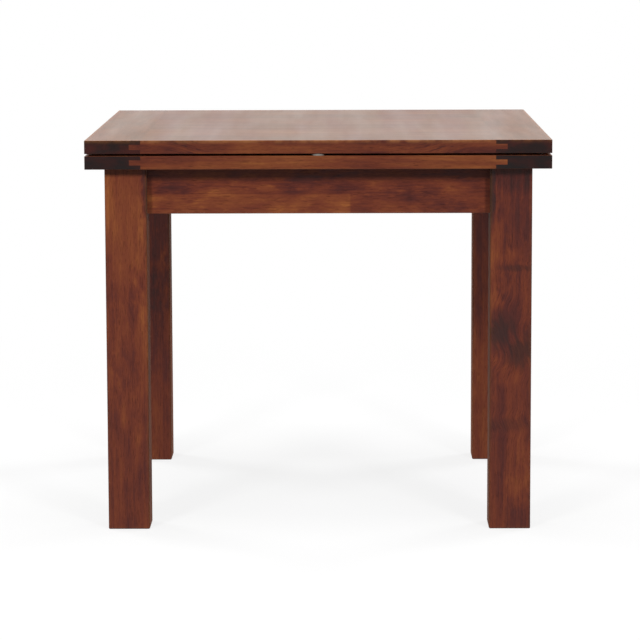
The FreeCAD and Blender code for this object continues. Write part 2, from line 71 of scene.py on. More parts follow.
def camera_turn(yaw, pitch, roll):
    """Rotation matrix whose columns are the camera's right, up and backward directions.

    Forward is +Y turned by yaw about Z and tipped down by pitch; roll then turns right towards up.
    """
    forward = Vector((math.sin(yaw) * math.cos(pitch), math.cos(yaw) * math.cos(pitch), -math.sin(pitch)))
    level_right = Vector((math.cos(yaw), -math.sin(yaw), 0.0))
    level_up = level_right.cross(forward)
    right = level_right * math.cos(roll) + level_up * math.sin(roll)
    up = level_up * math.cos(roll) - level_right * math.sin(roll)
    return Matrix((right, up, -forward)).transposed()


camera_data = bpy.data.cameras.new("photo_camera")
camera_data.sensor_width = SENSOR_WIDTH_MM
camera_data.lens = FOCAL_PIXELS / FRAME_PIXELS * SENSOR_WIDTH_MM
camera = bpy.data.objects.new("photo_camera", camera_data)
turn = camera_turn(CAMERA_YAW, CAMERA_PITCH, CAMERA_ROLL)
camera.matrix_world = Matrix.Translation(CAMERA_PLACE) @ turn.to_4x4()
scene.collection.objects.link(camera)
scene.camera = camera
scene.view_settings.view_transform = "Standard"
print(f"lens {camera_data.lens:.1f} mm")

# %% [markdown]
# Every finish below is a tree of shader nodes. Writing such a tree by hand takes three lines for each node,
# so a small class does the wiring: each of its methods adds one node and hands back that node's output,
# and the outputs are then combined like numbers in a formula.

# %% A short way to write node trees
NOISE_LAYERS = {"smooth": 1.0, "soft": 2.0, "plain": 3.0, "patchy": 4.0, "fine": 5.0}
NOISE_ROUGHNESS = 0.55
NOISE_MEAN = 0.5


class Recipe:
    """One node tree, with a method for each kind of node that the finishes need."""

    def __init__(self, tree):
        self.tree = tree

    def feed(self, socket, value):
        """Links an output to a socket, or writes a plain number or colour into it."""
        if isinstance(value, bpy.types.NodeSocket):
            self.tree.links.new(value, socket)
        else:
            socket.default_value = value

    def add(self, kind, values=(), output=0, **settings):
        """Adds a node, fills its first inputs with the values and returns one output."""
        node = self.tree.nodes.new(kind)
        for name, setting in settings.items():
            setattr(node, name, setting)
        for socket, value in zip(node.inputs, values):
            self.feed(socket, value)
        return node.outputs[output]

    def math(self, operation, *values):
        """One step of arithmetic on single numbers."""
        return self.add("ShaderNodeMath", values, operation=operation)

    def vector(self, operation, *values):
        """One step of arithmetic on vectors."""
        return self.add("ShaderNodeVectorMath", values, operation=operation)

    def length(self, vector):
        """The length of a vector."""
        return self.add("ShaderNodeVectorMath", (vector,), output=1, operation="LENGTH")

    def split(self, vector):
        """The three parts of a vector."""
        return self.add("ShaderNodeSeparateXYZ", (vector,)).node.outputs

    def ease(self, value, low, high, start=0.0, end=1.0):
        """A smooth step: start below low, end above high."""
        values = (value, low, high, start, end)
        return self.add("ShaderNodeMapRange", values, interpolation_type="SMOOTHSTEP")

    def cloud(self, place, stretch, layers="plain", roughness=NOISE_ROUGHNESS, output=0):
        """Noise at place times stretch, so a stretch of 20 gives features about 1/20 m long.

        Finer layers lie over the coarse noise: few of them for a soft cloud, more for a ragged one.
        """
        values = (self.vector("MULTIPLY", place, stretch), 0.0, 1.0, NOISE_LAYERS[layers], roughness)
        return self.add("ShaderNodeTexNoise", values, output=output)

    def blend(self, factor, first, second):
        """Mixes two colours, each an output or a plain red, green and blue."""
        node = self.add("ShaderNodeMix", data_type="RGBA").node
        sockets = [socket for socket in node.inputs if socket.type == "RGBA"]
        self.feed(node.inputs["Factor"], factor)
        for socket, colour in zip(sockets, (first, second)):
            self.feed(socket, (*colour, 1.0) if isinstance(colour, tuple) else colour)
        return next(socket for socket in node.outputs if socket.type == "RGBA")

    def ramp(self, value, stops):
        """Turns a number into a colour by way of (position, colour) stops."""
        node = self.add("ShaderNodeValToRGB", (value,)).node
        while len(node.color_ramp.elements) < len(stops):
            node.color_ramp.elements.new(1.0)
        for element, (position, colour) in zip(node.color_ramp.elements, stops):
            element.position = position
            element.color = (*colour, 1.0)
        return node.outputs[0]

    def bump(self, height, depth, strength):
        """A normal that leans as if the height, 0 to 1, were that many metres deep."""
        node = self.add("ShaderNodeBump").node
        node.inputs["Distance"].default_value = depth
        node.inputs["Strength"].default_value = strength
        self.feed(node.inputs["Height"], height)
        return node.outputs[0]

    def coordinates(self):
        """Object coordinates, and the normal in the same coordinates."""
        outputs = self.add("ShaderNodeTexCoord").node.outputs
        return outputs["Object"], outputs["Normal"]

    def background_rays(self):
        """1 for rays that show the surroundings: from the camera, mirrored, or through glass."""
        ray = self.add("ShaderNodeLightPath").node.outputs
        direct = self.math("MAXIMUM", ray["Is Camera Ray"], ray["Is Transmission Ray"])
        return self.math("MAXIMUM", direct, ray["Is Glossy Ray"])


def new_finish(name):
    """A new material, with its recipe and its Principled shader."""
    material = bpy.data.materials.new(name)
    material.use_nodes = True
    return material, Recipe(material.node_tree), material.node_tree.nodes["Principled BSDF"]


print("node helpers ready")

# %% [markdown]
# The table stands on a plain pale floor that runs into a white background. White paint under strong lamps
# would do it, but so much light would bleach the wood. So the floor, a flat grid of points, gives a white of
# its own to the camera and to mirrors, less a light share of the table's shadow. Away from the table that
# share fades, so that no edge shows. Light that bounces meets dark matt paint instead, which sends little of
# it back up, so the recesses under the top stay dark.

# %% Floor
FLOOR_REACH = 9.0
FLOOR_STEPS = 25
SHADOW_SHARE = 0.14
SHADOW_FADE = (0.9, 2.4)
LIT_FLOOR = 1.40
FLOOR_PAINT = (0.070, 0.070, 0.069, 1.0)
FLOOR_ROUGHNESS = 0.9
WHITE = (1.0, 1.0, 1.0, 1.0)


def grid_faces(rows, columns, wrap=False):
    """Corner numbers of the quads on a grid of rows by columns points, closed round the columns if wrap."""
    row = np.arange(rows - 1)[:, None]
    column = np.arange(columns if wrap else columns - 1)[None, :]
    following = (column + 1) % columns
    corners = (row * columns + column, row * columns + following,
               (row + 1) * columns + following, (row + 1) * columns + column)
    return np.stack(np.broadcast_arrays(*corners), axis=-1).reshape(-1, len(corners))


def surface(name, points, faces):
    """A mesh object at the origin from an array of points and a list of faces."""
    mesh = bpy.data.meshes.new(name)
    mesh.from_pydata(points.reshape(-1, 3).tolist(), [], faces)
    mesh.update()
    piece = bpy.data.objects.new(name, mesh)
    scene.collection.objects.link(piece)
    return piece


def flat_points(reach, steps):
    """Points (u, v, 0), with u and v from minus reach to reach."""
    along = np.linspace(-reach, reach, steps)
    x, y = np.meshgrid(along, along)
    return np.stack((x, y, np.zeros_like(x)), axis=-1)


def floor_finish():
    """Matt paint; the background rays see white, less a share of the light that the table keeps off it."""
    material, recipe, shader = new_finish("studio_floor_white")
    shader.inputs["Base Color"].default_value = FLOOR_PAINT
    shader.inputs["Roughness"].default_value = FLOOR_ROUGHNESS
    shader.inputs["Specular IOR Level"].default_value = 0.0
    place, _ = recipe.coordinates()
    share = recipe.ease(recipe.length(place), *SHADOW_FADE, SHADOW_SHARE, 0.0)
    glow = recipe.add("ShaderNodeEmission", (WHITE, recipe.math("MULTIPLY_ADD", share, -LIT_FLOOR, 1.0)))
    grey = recipe.add("ShaderNodeCombineColor", (share, share, share))
    shaded = recipe.add("ShaderNodeBsdfDiffuse", (grey,))
    shown = recipe.add("ShaderNodeAddShader", (glow, shaded))
    lit = recipe.add("ShaderNodeMixShader", (recipe.background_rays(), shader.outputs[0], shown))
    below = recipe.add("ShaderNodeNewGeometry").node.outputs["Backfacing"]
    clear = recipe.add("ShaderNodeBsdfTransparent")
    seen = recipe.add("ShaderNodeMixShader", (below, lit, clear))
    recipe.feed(material.node_tree.nodes["Material Output"].inputs["Surface"], seen)
    return material


floor_points = flat_points(FLOOR_REACH, FLOOR_STEPS)
floor = surface("studio_floor", floor_points, grid_faces(FLOOR_STEPS, FLOOR_STEPS).tolist())
floor.data.materials.append(floor_finish())
print(f"floor of {len(floor.data.polygons)} faces")

# %% [markdown]
# A satin finish shows what is around it. The surroundings are white, and the top, seen at a shallow angle,
# mirrors them as a grey sheen; they send out little light of their own. In front stands a soft lamp on each
# side, about twenty degrees up, which together throw the dark band under the top's edge and the narrow
# ones beside the legs. A wide lamp above lights the top, and two more fill the sides and the back. All of
# them are hidden from mirror rays, so that no lamp shows as a white patch on the top.

# %% World and lamps
AMBIENT = 0.024
AIM = Vector((0.0, 0.0, 0.45))
# Each lamp's place, its width and height, and its watts
LAMPS = {
    "left_front_lamp": ((-2.2, -4.7, 2.56), (0.8, 0.84), 158.0),
    "right_front_lamp": ((2.2, -4.7, 2.56), (0.8, 0.84), 158.0),
    "overhead_lamp": ((0.0, -0.3, 4.0), (2.4, 2.0), 110.0),
    "left_back_lamp": ((-3.4, 2.6, 2.6), (1.6, 1.6), 130.0),
    "right_back_lamp": ((3.4, 2.6, 2.6), (1.6, 1.6), 130.0),
}


def white_surroundings():
    """World light: white to the camera, in reflections and through glass; dim as a source of light."""
    world = bpy.data.worlds.new("studio_surroundings")
    world.use_nodes = True
    recipe = Recipe(world.node_tree)
    background = world.node_tree.nodes["Background"]
    background.inputs["Color"].default_value = WHITE
    recipe.feed(background.inputs["Strength"], recipe.math("MAXIMUM", recipe.background_rays(), AMBIENT))
    return world


def soft_lamp(name, place, size, watts):
    """A rectangular lamp at place that faces the middle of the table."""
    data = bpy.data.lights.new(name, "AREA")
    data.shape = "RECTANGLE"
    data.size, data.size_y = size
    data.energy = watts
    lamp = bpy.data.objects.new(name, data)
    lamp.location = place
    lamp.rotation_euler = (AIM - Vector(place)).to_track_quat("-Z", "Y").to_euler()
    lamp.visible_glossy = False
    scene.collection.objects.link(lamp)


scene.world = white_surroundings()
for name, settings in LAMPS.items():
    soft_lamp(name, *settings)
print(f"one world and {len(LAMPS)} lamps")

# %% [markdown]
# Wood is a solid pattern: a board is cut out of a log, so its faces are slices through the same rings and
# fibres. A picture of wood wrapped round a piece would break at every edge, so the pattern is made in space
# and not on the surface. A Mapping node turns each piece so that its grain runs along X and moves it to its
# own place in the log, which makes every board different.

# %% Where each piece lay in its log
GRAIN_TURN = {"X": (0.0, 0.0, 0.0), "Y": (0.0, 0.0, -math.pi / 2), "Z": (0.0, math.pi / 2, 0.0)}
GOLDEN_TURN = math.pi * (3.0 - math.sqrt(5.0))
LEAST_PITH_DISTANCE = 0.07
PITH_SPREAD = 0.06
LOG_STEP = 1.37


def log_shift(low, high, grain, number):
    """Moves the piece's middle to its own place along the log and its own side of the pith.

    The side goes round by the golden angle from one number to the next, so no two boards are alike.
    """
    turn_matrix = Matrix.Identity(3)
    for axis, angle in zip("XYZ", GRAIN_TURN[grain]):
        turn_matrix = Matrix.Rotation(angle, 3, axis) @ turn_matrix
    middle = turn_matrix @ ((low + high) / 2)
    side = number * GOLDEN_TURN
    reach = LEAST_PITH_DISTANCE + PITH_SPREAD * (side % 1.0)
    wanted = Vector((number * LOG_STEP, reach * math.cos(side), reach * math.sin(side)))
    return wanted - middle


def grain_space(recipe, place, low, high, grain, number):
    """Object coordinates turned and moved so that X runs along the fibres and the pith is the X axis."""
    mapping = recipe.add("ShaderNodeMapping", (place,)).node
    mapping.inputs["Rotation"].default_value = GRAIN_TURN[grain]
    mapping.inputs["Location"].default_value = log_shift(low, high, grain, number)
    return mapping.outputs[0]


print("grain along", ", ".join(GRAIN_TURN))

# %% [markdown]
# The fibres don't run straight. They wander a little along the log and swing round knots, and where a board
# was sawn across the run of the grain they slant. Each of these bends the coordinates before any pattern is
# looked up, so rings, streaks and pores all follow the same bend. On a slanting stretch the saw cut the
# vessels open, and they show as dark dashes. A spot, which later becomes a knot or a patch of stain, is an
# ellipsoid whose edge is torn along the fibres.

# %% How the fibres bend
WANDER_STRETCH = (1.8, 7.0, 7.0)
WANDER_REACH = (0.0, 0.022, 0.022)
DRIFT_MEAN = (NOISE_MEAN, NOISE_MEAN, NOISE_MEAN)
SPOT_CORE = 0.25
SPOT_STRETCH = (30.0, 75.0, 75.0)
SPOT_RAGGED = 1.7
KNOT_SWING = -0.40
KNOT_LENGTH = 1.8
VESSEL_STRETCH = (38.0, 280.0, 280.0)
VESSEL_EDGE = (0.53, 0.66)
VESSEL_SHIFT = -0.30
MM_PER_M = 1000


def wandering(recipe, grain_place):
    """Grain coordinates plus slow noise across the grain."""
    drift = recipe.cloud(grain_place, WANDER_STRETCH, "soft", output=1)
    drift = recipe.vector("SUBTRACT", drift, DRIFT_MEAN)
    drift = recipe.vector("MULTIPLY", drift, WANDER_REACH)
    return recipe.vector("ADD", grain_place, drift)


def spot_distance(recipe, place, centre, radii):
    """The distance from a centre, measured in radii along X, Y and Z."""
    offset = recipe.vector("SUBTRACT", place, centre)
    return offset, recipe.length(recipe.vector("DIVIDE", offset, radii))


def spot(recipe, place, fibre, centre, radii):
    """1 round a centre, 0 outside an ellipsoid whose edge is torn along the fibres."""
    _, distance = spot_distance(recipe, place, centre, radii)
    ragged = recipe.math("SUBTRACT", recipe.cloud(fibre, SPOT_STRETCH), NOISE_MEAN)
    distance = recipe.math("MULTIPLY_ADD", ragged, SPOT_RAGGED, distance)
    return recipe.ease(distance, SPOT_CORE, 1.0, 1.0, 0.0)


def swing_round(recipe, fibre, place, centre, radii):
    """Pushes the fibres sideways round a knot, over a field that is longer and wider than the knot."""
    offset, distance = spot_distance(recipe, place, centre, Vector(radii) * KNOT_LENGTH)
    field = recipe.ease(distance, SPOT_CORE, 1.0, 1.0, 0.0)
    push = recipe.add("ShaderNodeVectorMath", (offset,), operation="SCALE").node
    recipe.feed(push.inputs["Scale"], recipe.math("MULTIPLY", field, KNOT_SWING))
    return recipe.vector("ADD", fibre, push.outputs[0])


def slanting(recipe, fibre, place, middle, half_length, slope):
    """Slants the fibres of a board along X.

    They rise by slope times the stretch's length and stay risen after it.
    """
    rise = slope * half_length
    rise = recipe.ease(recipe.split(place)["X"], middle - half_length, middle + half_length, rise, -rise)
    return recipe.vector("ADD", fibre, recipe.add("ShaderNodeCombineXYZ", (0.0, 0.0, rise)))


def cut_vessels(recipe, fibre, place, normal, middle, half_length):
    """Dark dashes on a slanting stretch's front edge, where the saw cut the vessels open."""
    along = recipe.math("ABSOLUTE", recipe.math("SUBTRACT", recipe.split(place)["X"], middle))
    near = recipe.ease(along, 0.0, half_length, VESSEL_SHIFT, 0.0)
    near = recipe.math("MULTIPLY", near, recipe.math("ABSOLUTE", recipe.split(normal)["Y"]))
    dashes = recipe.ease(recipe.cloud(fibre, VESSEL_STRETCH, "soft"), *VESSEL_EDGE)
    return recipe.math("MULTIPLY", near, dashes)


print(f"fibres wander over {WANDER_REACH[1] * MM_PER_M:.0f} mm")

# %% [markdown]
# The stain takes unevenly. Open streaks drink it and go dark, dense streaks stay orange, and soft blotches
# lie over both. Growth rings show faintly, short flecks catch the light, fine lines a millimetre or two wide
# follow the fibres, and the pores are fine dark dashes. All but the pores add up to one number, how light
# the stain is at that point, and a colour ramp turns the number into brown.

# %% Stain and figure
CHESTNUT_STAIN = (
    (0.00, (0.020, 0.0046, 0.0040)),
    (0.28, (0.060, 0.0115, 0.0080)),
    (0.50, (0.115, 0.0248, 0.0118)),
    (0.72, (0.164, 0.0425, 0.0158)),
    (1.00, (0.250, 0.0790, 0.0225)),
)
PALE_WOOD = (
    (0.00, (0.190, 0.088, 0.042)),
    (0.40, (0.335, 0.174, 0.088)),
    (0.70, (0.435, 0.245, 0.128)),
    (1.00, (0.525, 0.325, 0.180)),
)
STRAIGHT_FIGURE = {"streak": (3.4, 48.0, 48.0), "streak_weight": 0.85,
                   "blotch": (7.0, 19.0, 19.0), "blotch_weight": 0.85,
                   "fleck": (70.0, 260.0, 260.0), "fleck_weight": 0.10}
CURLY_FIGURE = {"streak": (17.0, 50.0, 50.0), "streak_weight": 0.70,
                "blotch": (11.0, 27.0, 27.0), "blotch_weight": 0.95,
                "fleck": (40.0, 130.0, 130.0), "fleck_weight": 0.22}
FLECK_EDGE = (0.50, 0.78)
LINE_STRETCH = (7.0, 480.0, 480.0)
LINE_WEIGHT = 0.32
PORE_STRETCH = (60.0, 1100.0, 1100.0)
PORE_EDGE = (0.58, 0.67)
RING_SPACING = 0.0065
# At a scale of 1, Blender's wave texture runs through this many radians per metre.
WAVE_RATE = 20.0
WAVE_PERIOD = 2 * math.pi / WAVE_RATE
RING_WEIGHT = 0.07
STREAK_BREAKUP = 0.62
MIDDLE_TONE = 0.5


def rings(recipe, fibre):
    """Growth rings: a saw-tooth wave of the distance from the pith."""
    return recipe.add("ShaderNodeTexWave", (fibre, WAVE_PERIOD / RING_SPACING), output=1,
                      wave_type="RINGS", rings_direction="X", wave_profile="SAW")


def weighed(recipe, value, weight):
    """A noise value less its mean of a half, times its weight."""
    return recipe.math("MULTIPLY", recipe.math("SUBTRACT", value, NOISE_MEAN), weight)


def wood_figure(recipe, grain_place, fibre, tone, figure):
    """Lightness of the stain, and the streak and pore patterns that the gloss and the bump reuse."""
    streak = recipe.cloud(fibre, figure["streak"], "fine", STREAK_BREAKUP)
    blotch = recipe.cloud(grain_place, figure["blotch"])
    fleck = recipe.ease(recipe.cloud(fibre, figure["fleck"]), *FLECK_EDGE)
    line = recipe.cloud(fibre, LINE_STRETCH)
    pore = recipe.ease(recipe.cloud(fibre, PORE_STRETCH, "smooth"), *PORE_EDGE)
    lightness = recipe.math("ADD", weighed(recipe, streak, figure["streak_weight"]), MIDDLE_TONE + tone)
    lightness = recipe.math("ADD", lightness, weighed(recipe, blotch, figure["blotch_weight"]))
    lightness = recipe.math("ADD", lightness, weighed(recipe, rings(recipe, fibre), RING_WEIGHT))
    lightness = recipe.math("ADD", lightness, weighed(recipe, line, LINE_WEIGHT))
    lightness = recipe.math("MULTIPLY_ADD", fleck, figure["fleck_weight"], lightness)
    return lightness, streak, pore


print(f"{len(CHESTNUT_STAIN)} browns in the stain")

# %% [markdown]
# Some things depend on where a point lies on its piece. Where the fibres come out at the end of a board they
# soak up stain and turn almost black; the object's own normal tells those faces. Hands and cloths rub the
# finish thin along the arrises, and lighten the end grain just below the top. On the leaves that lighter
# colour is made strong enough to be a painted highlight on the top arris as well: partly wear, partly
# painted highlight. The wear could be painted on by hand. But on a box the distance to the nearest edge is
# the middle one of the three distances to its sides, so the wear needs no other input than the piece's size.

# %% End grain and worn arrises
END_GRAIN = (0.0130, 0.0025, 0.0018)
END_GRAIN_PALE = (0.152, 0.076, 0.040)
END_GRAIN_SPREAD = (0.45, 2.2)
END_GRAIN_STRETCH = (24.0, 24.0, 50.0)
END_GRAIN_EDGE = (0.40, 0.70)
FACING_TURN = (0.55, 0.85)
# The worn colour is also the painted highlight on the leaves' top arrises and on the end grain just below
# the top
WORN_STAIN_AND_HIGHLIGHT = (0.260, 0.105, 0.040)
WEAR_REACH = 0.009
WEAR_STRETCH = (45.0, 45.0, 45.0)
WEAR_EDGE = (0.28, 0.68)
LEAF_WEAR_AND_HIGHLIGHT = 0.75
BASE_WEAR = 0.11
RIM_WEAR_AND_HIGHLIGHT = 0.28


def rubbed_patches(recipe, place):
    """Noise from 0 to 1 that breaks up the wear."""
    return recipe.ease(recipe.cloud(place, WEAR_STRETCH), *WEAR_EDGE)


def rim_wear_and_highlight(recipe, place, top):
    """Wear and painted highlight on the end grain just below the level of the top, broken up by noise."""
    near = recipe.ease(recipe.split(place)["Z"], top - WEAR_REACH, top, 0.0, RIM_WEAR_AND_HIGHLIGHT)
    return recipe.math("MULTIPLY", near, rubbed_patches(recipe, place))


def end_grain(recipe, colour, place, normal, grain, end_colour, worn):
    """The colour, turned to patchy end grain where the surface faces along the grain, partly lightened by
    wear and painted highlight.
    """
    facing = recipe.ease(recipe.math("ABSOLUTE", recipe.split(normal)[grain]), *FACING_TURN)
    dark, light = (tuple(share * part for part in end_colour) for share in END_GRAIN_SPREAD)
    patch = recipe.ease(recipe.cloud(place, END_GRAIN_STRETCH, "patchy"), *END_GRAIN_EDGE)
    ends = recipe.blend(worn, recipe.blend(patch, dark, light), WORN_STAIN_AND_HIGHLIGHT)
    return recipe.blend(facing, colour, ends)


def side_distances(recipe, place, low, high):
    """Distances from a point to the nearer of a box's two sides, along X, Y and Z."""
    offset = recipe.vector("SUBTRACT", place, (low + high) / 2)
    return recipe.split(recipe.vector("SUBTRACT", (high - low) / 2, recipe.vector("ABSOLUTE", offset)))


def arris_wear_and_highlight(recipe, place, low, high, share):
    """Wear, and on the leaves painted highlight, along a box's edges: where the middle distance is small,
    broken up by noise.
    """
    first, second, third = side_distances(recipe, place, low, high)
    least = recipe.math("MINIMUM", first, second)
    most = recipe.math("MAXIMUM", first, second)
    middle = recipe.math("MAXIMUM", least, recipe.math("MINIMUM", most, third))
    near = recipe.ease(middle, 0.0, WEAR_REACH, share, 0.0)
    return recipe.math("MULTIPLY", near, rubbed_patches(recipe, place))


print(f"wear reaches {WEAR_REACH * MM_PER_M:.0f} mm in from an arris")

# %% [markdown]
# The least of the same three distances tells whether a point is inside a box at all, which marks a strip of
# another board in a glued-up piece. Where two boards of a leaf meet, a thin dark line shows on the flat. It
# could be a groove in the mesh, but the real joint is planed flush, so it is only a line of colour: near a
# board's own sides, and not at the rim of the whole leaf.

# %% Glued strips and board seams
STRIP_EDGE = 0.0015
SEAM_REACH = 0.0008
SEAM_SHARE = 0.6
RIM = (0.001, 0.003)


def strip_field(recipe, place, low, high):
    """1 inside a box, 0 outside it, with a soft edge: a glued-in strip of another board."""
    first, second, third = side_distances(recipe, place, low, high)
    depth = recipe.math("MINIMUM", recipe.math("MINIMUM", first, second), third)
    return recipe.ease(depth, -STRIP_EDGE, STRIP_EDGE)


def board_seams(recipe, place, normal, low, high, whole_low, whole_high):
    """Dark lines on the flats where a board meets its neighbours."""
    own = side_distances(recipe, place, low, high)
    whole = side_distances(recipe, place, whole_low, whole_high)
    near = recipe.ease(recipe.math("MINIMUM", own["X"], own["Y"]), 0.0, SEAM_REACH, SEAM_SHARE, 0.0)
    inside = recipe.ease(recipe.math("MINIMUM", whole["X"], whole["Y"]), *RIM)
    flat = recipe.ease(recipe.math("ABSOLUTE", recipe.split(normal)["Z"]), *FACING_TURN)
    return recipe.math("MULTIPLY", near, recipe.math("MULTIPLY", inside, flat))


print(f"a seam darkens {SEAM_REACH * MM_PER_M:.1f} mm of each board")

# %% [markdown]
# The lacquer is satin. Legs, aprons and edges are left matt, and the flat faces of the leaves, which are
# wiped every day, are rubbed to a sheen. So the roughness follows the normal, and a little also the streaks
# and the pores, and slow bands across the boards where the wiping cloth went. The faces of the base that
# look inward, across the knee space, got a thin coat: they are the dullest. Their colour is also mixed a
# little towards olive yellow, a painted reflection that stands in for the sheen these faces show at a
# grazing angle. There X and the normal's X have unlike signs. The bump is only a few hundredths of a
# millimetre deep, and less on the flats, where polish has filled the pores.

# %% Lacquer
SATIN_IOR = 1.40
LEAF_GLOSS = {"sides": 0.60, "flats": 0.345, "inward": 0.0, "bands": 0.20, "shine": 0.40}
BASE_GLOSS = {"sides": 0.74, "flats": 0.74, "inward": 0.26, "bands": 0.0, "shine": 0.75}
RAW_GLOSS = {"sides": 0.65, "flats": 0.65, "inward": 0.0, "bands": 0.0, "shine": 0.30}
INWARD_EDGE = (-0.20, -0.05)
BAND_STRETCH = (16.0, 1.4, 1.4)
STREAK_ROUGHNESS = 0.06
PORE_ROUGHNESS = 0.10
BUMP_DEPTH = 0.00003
BUMP_STRENGTH = 0.6
FILLED_SHARE = 0.85


def inward_faces(recipe, place, normal):
    """1 on faces that look across the table towards its middle, 0 elsewhere."""
    outward = recipe.math("MULTIPLY", recipe.split(place)["X"], recipe.split(normal)["X"])
    return recipe.ease(outward, *INWARD_EDGE, 1.0, 0.0)


def lacquer(recipe, shader, place, normal, streak, pore, gloss):
    """Roughness from the facing, streaks, pores and bands; bump from the streaks and the pores."""
    flat = recipe.ease(recipe.math("ABSOLUTE", recipe.split(normal)["Z"]), *FACING_TURN)
    open_share = recipe.math("MULTIPLY_ADD", flat, -FILLED_SHARE, 1.0)
    rough = recipe.math("MULTIPLY_ADD", flat, gloss["flats"] - gloss["sides"], gloss["sides"])
    rough = recipe.math("SUBTRACT", rough, weighed(recipe, streak, STREAK_ROUGHNESS))
    rough = recipe.math("MULTIPLY_ADD", recipe.math("MULTIPLY", pore, open_share), PORE_ROUGHNESS, rough)
    if gloss["inward"]:
        inward = inward_faces(recipe, place, normal)
        rough = recipe.math("MULTIPLY_ADD", inward, gloss["inward"], rough)
    if gloss["bands"]:
        bands = recipe.cloud(place, BAND_STRETCH)
        rough = recipe.math("ADD", rough, weighed(recipe, bands, gloss["bands"]))
    recipe.feed(shader.inputs["Roughness"], rough)
    shader.inputs["IOR"].default_value = SATIN_IOR
    shader.inputs["Specular IOR Level"].default_value = gloss["shine"]
    height = recipe.math("MULTIPLY", recipe.math("SUBTRACT", streak, pore), open_share)
    recipe.feed(shader.inputs["Normal"], recipe.bump(height, BUMP_DEPTH, BUMP_STRENGTH))


print("roughness of a leaf:", LEAF_GLOSS["sides"], "at the edges,", LEAF_GLOSS["flats"], "on the flat")

# %% [markdown]
# The faces that look up are painted a little yellower, in soft bands across the boards that are yellower in
# some places and pinker in others. It is painted sheen: it stands in for the warm tint and the streaks of
# the reflection that the top shows at a shallow angle. A paler stain for the upper leaf would tint its edges
# too, so the normal picks the faces that look up.

# %% Painted sheen tint on the top
# Painted sheen: colours that stand in for the warm, streaky reflection on the top
SHEEN_TINT_YELLOW = (0.138, 0.069, 0.023)
SHEEN_TINT_PINK = (0.140, 0.064, 0.033)
SHEEN_TINT_SHARE = 0.55
SHEEN_BAND_STRETCH = (12.0, 0.9, 0.9)
SHEEN_BAND_EDGE = (0.4, 0.65)


def painted_sheen_tint(recipe, colour, place, normal):
    """The colour, mixed on the faces that look up with a painted sheen tint."""
    patch = recipe.ease(recipe.cloud(place, SHEEN_BAND_STRETCH, "soft"), *SHEEN_BAND_EDGE)
    sheen_tinted = recipe.blend(patch, SHEEN_TINT_YELLOW, SHEEN_TINT_PINK)
    up = recipe.ease(recipe.split(normal)["Z"], *FACING_TURN, 0.0, SHEEN_TINT_SHARE)
    return recipe.blend(up, colour, sheen_tinted)


# How much of the top's colour is painted sheen tint
print(f"the top has faded by {SHEEN_TINT_SHARE:.0%}")

# %% [markdown]
# The wood finish puts these together. It takes the piece's box, the axis of its grain and its number in the
# pile, and from the photograph it takes what is particular to a piece: how light it is, its knots, its
# slanting stretches, its lighter and darker patches, and its glued strips.

# %% The wood finish
KNOT_DARK = (0.016, 0.0040, 0.0030)
PORE_DEPTH = 0.42
# Painted reflection: the inward faces' colour is mixed a little towards olive yellow, for their sheen at a
# grazing angle
INWARD_SHEEN_TINT = (0.235, 0.114, 0.043)
INWARD_SHEEN_SHARE = 0.16


def bent_fibres(recipe, place, grain_place, slants, knots):
    """Grain coordinates that wander, slant and swing round the knots."""
    fibre = wandering(recipe, grain_place)
    for slant in slants:
        fibre = slanting(recipe, fibre, place, *slant)
    for centre, radii, _ in knots:
        fibre = swing_round(recipe, fibre, place, centre, radii)
    return fibre


def own_marks(recipe, lightness, place, normal, fibre, slants, patches, strips):
    """The stain's lightness, changed by the piece's cut vessels, its patches and its strips."""
    for middle, half_length, _ in slants:
        vessels = cut_vessels(recipe, fibre, place, normal, middle, half_length)
        lightness = recipe.math("ADD", lightness, vessels)
    for centre, radii, shift in patches:
        field = spot(recipe, place, fibre, centre, radii)
        lightness = recipe.math("MULTIPLY_ADD", field, shift, lightness)
    for strip_low, strip_high, shift in strips:
        field = strip_field(recipe, place, strip_low, strip_high)
        lightness = recipe.math("MULTIPLY_ADD", field, shift, lightness)
    return lightness


